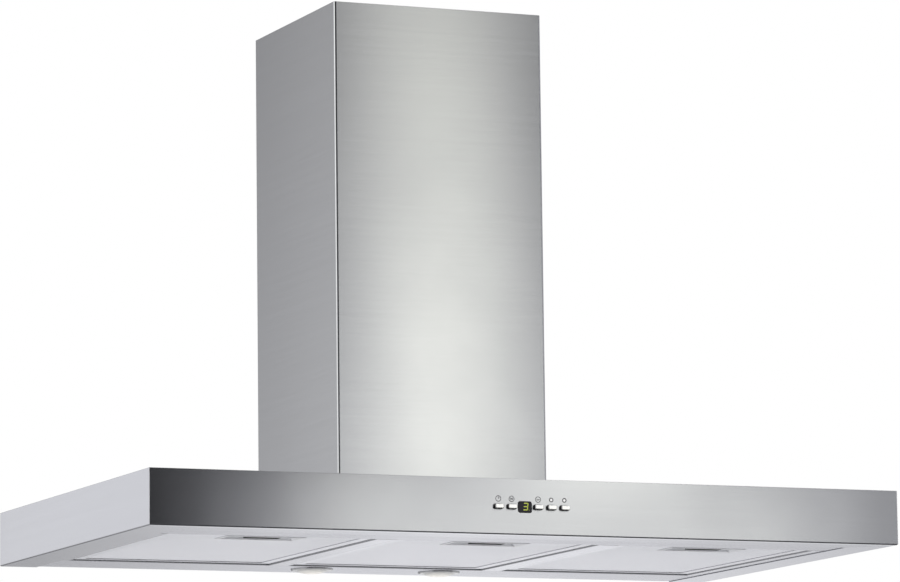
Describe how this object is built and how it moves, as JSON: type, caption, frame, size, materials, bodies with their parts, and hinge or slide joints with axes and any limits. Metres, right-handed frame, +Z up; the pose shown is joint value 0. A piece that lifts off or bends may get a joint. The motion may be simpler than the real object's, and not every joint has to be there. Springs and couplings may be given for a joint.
{
  "type": "canopy range hood",
  "caption": "Wall-mounted box canopy hood with telescopic chimney, swing-down grease filters, lamps, push buttons, display, centrifugal blower and damper.",
  "frame": {"origin": "on the wall plane, in the middle of the width, level with the canopy's two wall screws", "axes": "+X right seen from the front, +Y towards the wall, +Z up"},
  "size_m": [0.9, 0.525, 0.645],
  "materials": {
    "brushed_front": "horizontally brushed stainless steel",
    "brushed_side": "brushed stainless steel",
    "brushed_top": "brushed stainless steel",
    "zinc_sheet": "galvanised sheet",
    "underside_sheet": "satin stainless steel",
    "lamp_chrome": "satin chrome",
    "lamp_glass": "frosted warm-white glass",
    "reflector": "polished",
    "bulb": "clear capsule in a ceramic base",
    "button_chrome": "chrome-plated plastic",
    "guide_plastic": "moulded, matt",
    "circuit_board": "solder-masked board",
    "display_black": "smoked, glossy",
    "filter_aluminium": "satin rolled aluminium",
    "filter_mesh": "expanded aluminium mesh",
    "cup_steel": "satin pressed sheet",
    "latch_black": "moulded, matt",
    "screw_zinc": "zinc plated",
    "scroll_plastic": "moulded, matt",
    "impeller_plastic": "moulded, matt",
    "shaft_steel": "ground steel",
    "motor_case": "die cast",
    "black_rubber": "moulded rubber",
    "collar_plastic": "moulded, matt",
    "gland_plastic": "moulded, matt",
    "box_plastic": "moulded, matt",
    "transformer_core": "varnished windings and core",
    "lead_jacket": "flexible jacket",
    "brushed_chimney": "horizontally brushed stainless steel",
    "brushed_chimney_upper": "horizontally brushed stainless steel"
  },
  "bodies": {
    "hood": {"front_panel": "brushed_front", "side_panel_left": "brushed_side", "side_panel_right": "brushed_side", "top_plate": "brushed_top", "back_plate": "zinc_sheet", "airbox": "zinc_sheet", "motor_bracket": "zinc_sheet", "lamp_panel": "underside_sheet", "front_rail": "underside_sheet", "side_rail_left": "underside_sheet", "side_rail_right": "underside_sheet", "divider_left": "underside_sheet", "divider_right": "underside_sheet", "lamp_ring_left": "lamp_chrome", "lamp_ring_right": "lamp_chrome", "lamp_glass_left": "lamp_glass", "lamp_glass_right": "lamp_glass", "lamp_reflectors": "reflector", "lamp_bulbs": "bulb", "button_guide": "guide_plastic", "control_board": "circuit_board", "display_window": "display_black", "display_module": "display_black", "airbox_screws": "screw_zinc", "scroll_wrapper": "scroll_plastic", "scroll_cheek_left": "scroll_plastic", "scroll_cheek_right": "scroll_plastic", "outlet_transition": "scroll_plastic", "damper_spindle": "shaft_steel", "motor": "motor_case", "rubber_mounts": "black_rubber", "outlet_collar": "collar_plastic", "cable_gland": "gland_plastic", "control_box": "box_plastic", "lamp_transformer": "transformer_core", "wiring": "lead_jacket", "chimney_lower": "brushed_chimney"},
    "filter_left": {"filter_frame_left": "filter_aluminium", "filter_mesh_left": "filter_mesh", "handle_cup_left": "cup_steel"},
    "latch_left": {"latch_left": "latch_black"},
    "filter_middle": {"filter_frame_middle": "filter_aluminium", "filter_mesh_middle": "filter_mesh", "handle_cup_middle": "cup_steel"},
    "latch_middle": {"latch_middle": "latch_black"},
    "filter_right": {"filter_frame_right": "filter_aluminium", "filter_mesh_right": "filter_mesh", "handle_cup_right": "cup_steel"},
    "latch_right": {"latch_right": "latch_black"},
    "button_timer": {"button_timer": "button_chrome"},
    "button_fan": {"button_fan": "button_chrome"},
    "button_minus": {"button_minus": "button_chrome"},
    "button_plus": {"button_plus": "button_chrome"},
    "button_light": {"button_light": "button_chrome"},
    "impeller": {"impeller": "impeller_plastic", "motor_shaft": "shaft_steel"},
    "flap_rear": {"damper_flap_rear": "collar_plastic"},
    "flap_front": {"damper_flap_front": "collar_plastic"},
    "chimney_upper": {"chimney_upper": "brushed_chimney_upper", "upper_bracket": "zinc_sheet"}
  },
  "joints": [
    {"name": "filter_left_swing", "type": "hinge", "parent": "hood", "child": "filter_left", "pos_m": [-0.27, -0.0865, -0.024], "axis": [1, 0, 0], "range_deg": [0, 60]},
    {"name": "latch_left_slide", "type": "slide", "parent": "filter_left", "child": "latch_left", "axis": [0, 1, 0], "range_m": [0, 0.006], "stiffness_N_per_m": 400, "springref_m": -0.004},
    {"name": "filter_middle_swing", "type": "hinge", "parent": "hood", "child": "filter_middle", "pos_m": [0, -0.0865, -0.024], "axis": [1, 0, 0], "range_deg": [0, 60]},
    {"name": "latch_middle_slide", "type": "slide", "parent": "filter_middle", "child": "latch_middle", "axis": [0, 1, 0], "range_m": [0, 0.006], "stiffness_N_per_m": 400, "springref_m": -0.004},
    {"name": "filter_right_swing", "type": "hinge", "parent": "hood", "child": "filter_right", "pos_m": [0.27, -0.0865, -0.024], "axis": [1, 0, 0], "range_deg": [0, 60]},
    {"name": "latch_right_slide", "type": "slide", "parent": "filter_right", "child": "latch_right", "axis": [0, 1, 0], "range_m": [0, 0.006], "stiffness_N_per_m": 400, "springref_m": -0.004},
    {"name": "button_timer_press", "type": "slide", "parent": "hood", "child": "button_timer", "axis": [0, 1, 0], "range_m": [0, 0.002], "stiffness_N_per_m": 300, "springref_m": -0.002},
    {"name": "button_fan_press", "type": "slide", "parent": "hood", "child": "button_fan", "axis": [0, 1, 0], "range_m": [0, 0.002], "stiffness_N_per_m": 300, "springref_m": -0.002},
    {"name": "button_minus_press", "type": "slide", "parent": "hood", "child": "button_minus", "axis": [0, 1, 0], "range_m": [0, 0.002], "stiffness_N_per_m": 300, "springref_m": -0.002},
    {"name": "button_plus_press", "type": "slide", "parent": "hood", "child": "button_plus", "axis": [0, 1, 0], "range_m": [0, 0.002], "stiffness_N_per_m": 300, "springref_m": -0.002},
    {"name": "button_light_press", "type": "slide", "parent": "hood", "child": "button_light", "axis": [0, 1, 0], "range_m": [0, 0.002], "stiffness_N_per_m": 300, "springref_m": -0.002},
    {"name": "impeller_spin", "type": "hinge", "parent": "hood", "child": "impeller", "pos_m": [0, -0.16385, 0.12908], "axis": [1, 0, 0], "continuous": true},
    {"name": "flap_rear_swing", "type": "hinge", "parent": "hood", "child": "flap_rear", "pos_m": [0, -0.13, 0.268], "axis": [1, 0, 0], "range_deg": [0, 75]},
    {"name": "flap_front_swing", "type": "hinge", "parent": "hood", "child": "flap_front", "pos_m": [0, -0.13, 0.268], "axis": [-1, 0, 0], "range_deg": [0, 75]},
    {"name": "chimney_extend", "type": "slide", "parent": "hood", "child": "chimney_upper", "axis": [0, 0, 1], "range_m": [0, 0.36]}
  ]
}
